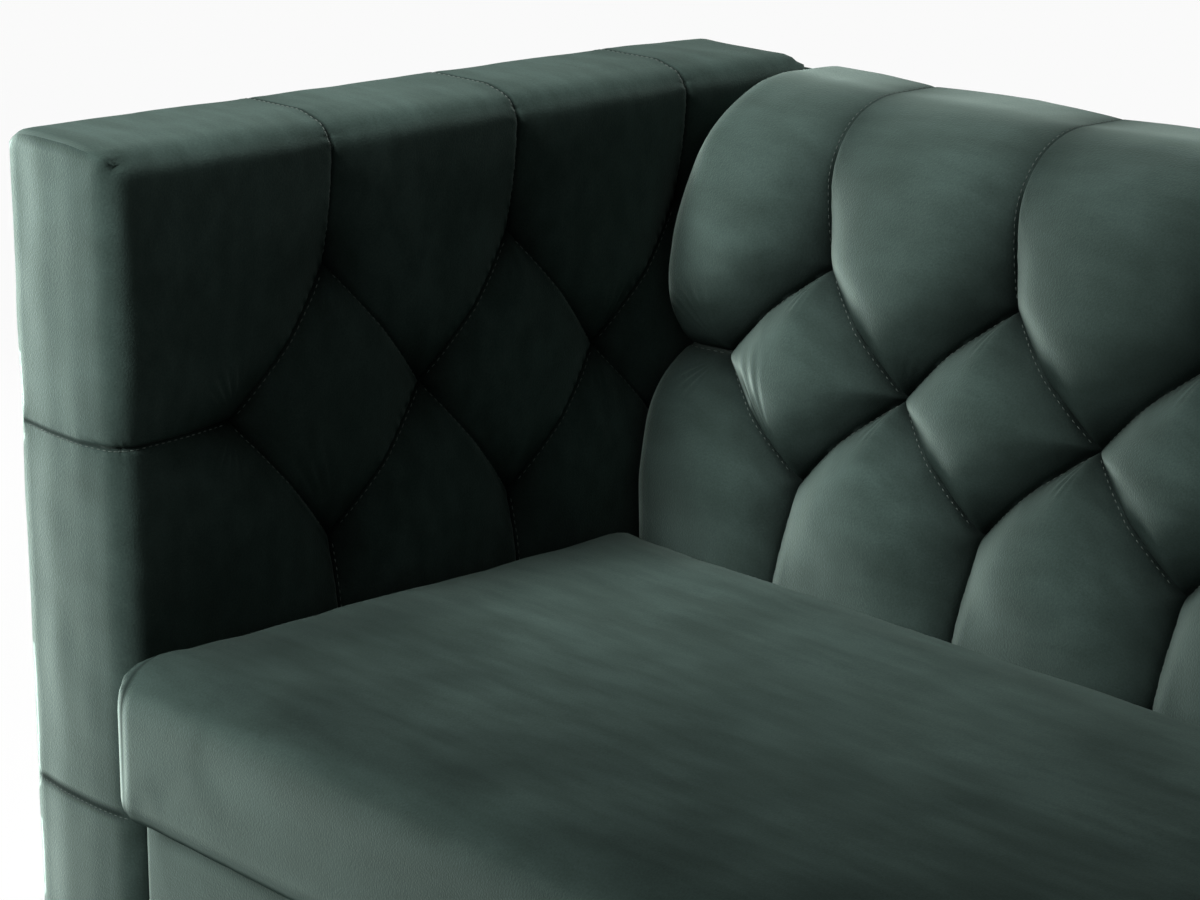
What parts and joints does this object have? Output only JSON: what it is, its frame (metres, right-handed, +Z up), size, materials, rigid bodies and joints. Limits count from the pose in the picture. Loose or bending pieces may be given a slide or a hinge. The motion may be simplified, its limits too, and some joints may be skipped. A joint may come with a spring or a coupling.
{
  "type": "three-seater sofa",
  "caption": "Upholstered sofa with diamond-tufted back and arms of equal height, a loose full-width seat cushion and short tapered legs.",
  "frame": {"origin": "middle of the footprint, on the floor", "axes": "+X along the width, +Y from the front to the back, +Z up"},
  "size_m": [2.1, 0.804, 0.84],
  "materials": {
    "velvet": "dark grey-green velvet",
    "foam": "open-cell foam",
    "lining": "plain woven lining",
    "felt": "felt and hessian",
    "webbing": "woven webbing and cord",
    "board": "hardboard and plywood",
    "frame_wood": "sawn beech",
    "leg_wood": "dark stained wood",
    "steel": "zinc-plated steel",
    "glide": "moulded plastic"
  },
  "bodies": {
    "sofa": {"arm_tuft_ties": "webbing", "back_bottom_rail": "frame_wood", "back_cover": "velvet", "back_cross_straps": "webbing", "back_foam": "foam", "back_hessian": "felt", "back_outer_board": "board", "back_straps": "webbing", "back_top_rail": "frame_wood", "back_tuft_ties": "webbing", "back_uprights": "frame_wood", "centre_stretcher": "frame_wood", "corner_blocks": "frame_wood", "deck_cloth_layer": "lining", "deck_felt_layer": "felt", "deck_pad_layer": "foam", "dust_cover": "lining", "foot_glides": "glide", "frame_dowels": "frame_wood", "front_centre_leg": "leg_wood", "front_left_leg": "leg_wood", "front_rail": "frame_wood", "front_rail_cover": "velvet", "front_right_leg": "leg_wood", "hanger_bolts": "steel", "left_arm_bottom_rail": "frame_wood", "left_arm_cover": "velvet", "left_arm_foam": "foam", "left_arm_front_post": "frame_wood", "left_arm_inner_board": "board", "left_arm_outer_board": "board", "left_arm_rear_post": "frame_wood", "left_arm_stay_rail": "frame_wood", "left_arm_top_rail": "frame_wood", "left_outside_arm_cover": "velvet", "left_stretcher": "frame_wood", "leg_plates": "steel", "outside_back_cover": "velvet", "rear_centre_leg": "leg_wood", "rear_left_leg": "leg_wood", "rear_right_leg": "leg_wood", "rear_seat_rail": "frame_wood", "right_arm_bottom_rail": "frame_wood", "right_arm_cover": "velvet", "right_arm_foam": "foam", "right_arm_front_post": "frame_wood", "right_arm_inner_board": "board", "right_arm_outer_board": "board", "right_arm_rear_post": "frame_wood", "right_arm_stay_rail": "frame_wood", "right_arm_top_rail": "frame_wood", "right_outside_arm_cover": "velvet", "right_stretcher": "frame_wood", "seat_springs": "steel", "spring_clips": "steel"},
    "seat_cushion": {"seat_cushion_cover": "velvet", "seat_cushion_core": "foam", "cushion_zip_tape": "lining"},
    "zip_slider": {"cushion_zip_slider": "steel"}
  },
  "joints": [
    {"name": "cushion_lift", "type": "slide", "parent": "sofa", "child": "seat_cushion", "axis": [0, 0, 1], "range_m": [0, 0.5]},
    {"name": "zip_run", "type": "slide", "parent": "seat_cushion", "child": "zip_slider", "axis": [1, 0, 0], "range_m": [0, 1.47]}
  ]
}
